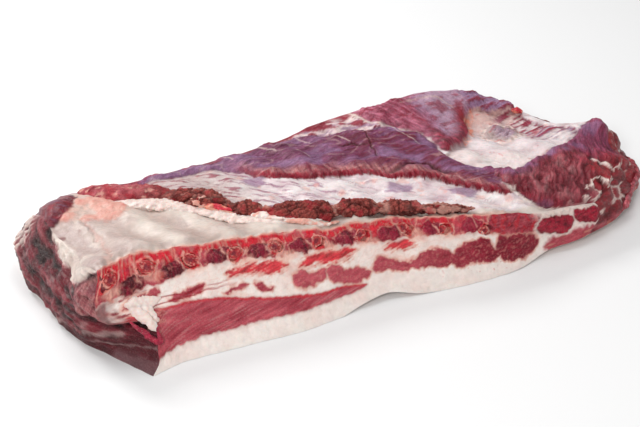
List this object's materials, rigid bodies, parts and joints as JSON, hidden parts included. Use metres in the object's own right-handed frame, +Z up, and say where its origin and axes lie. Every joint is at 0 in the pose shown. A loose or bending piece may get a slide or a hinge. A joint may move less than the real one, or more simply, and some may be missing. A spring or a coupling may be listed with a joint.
{
  "type": "pork belly slab",
  "caption": "Whole bone-in pork belly laid rib side up, with a slanted sawn side that shows rib ends, lean and fat layers, a diaphragm strip and a dark flank muscle",
  "frame": {"origin": "middle of the slab's outline, on the surface it lies on", "axes": "+X along the slab from the shoulder end to the flank end, +Y from the sawn rib side to the belly side, +Z up out of the rib-cage side"},
  "size_m": [0.5706, 0.2424, 0.075],
  "materials": {
    "back_fat": "moist white fat with a pink cast",
    "seam_fat": "moist pinkish fat with torn red streaks",
    "rose_lean": "moist rose-red lean, fibrous",
    "intercostal_muscle": "wet bright red muscle between the ribs, under a pale lining",
    "sawn_bone": "sawn bone, pale rim round red marrow",
    "diaphragm": "crumbly brown-red muscle",
    "belly_wall_muscle": "purple-red muscle under a thin wet membrane",
    "flank_muscle": "dark red grooved muscle with white membrane"
  },
  "bodies": {
    "root": {"back_fat": "back_fat", "lean_sheet": "rose_lean", "lean_streak": "rose_lean", "seam_fat": "seam_fat", "rib_bed": "intercostal_muscle", "rib_01": "sawn_bone", "rib_02": "sawn_bone", "rib_03": "sawn_bone", "rib_04": "sawn_bone", "rib_05": "sawn_bone", "rib_06": "sawn_bone", "rib_07": "sawn_bone", "rib_08": "sawn_bone", "rib_09": "sawn_bone", "rib_10": "sawn_bone", "diaphragm_strip": "diaphragm", "belly_wall": "belly_wall_muscle", "flank_muscle": "flank_muscle"}
  },
  "joints": []
}
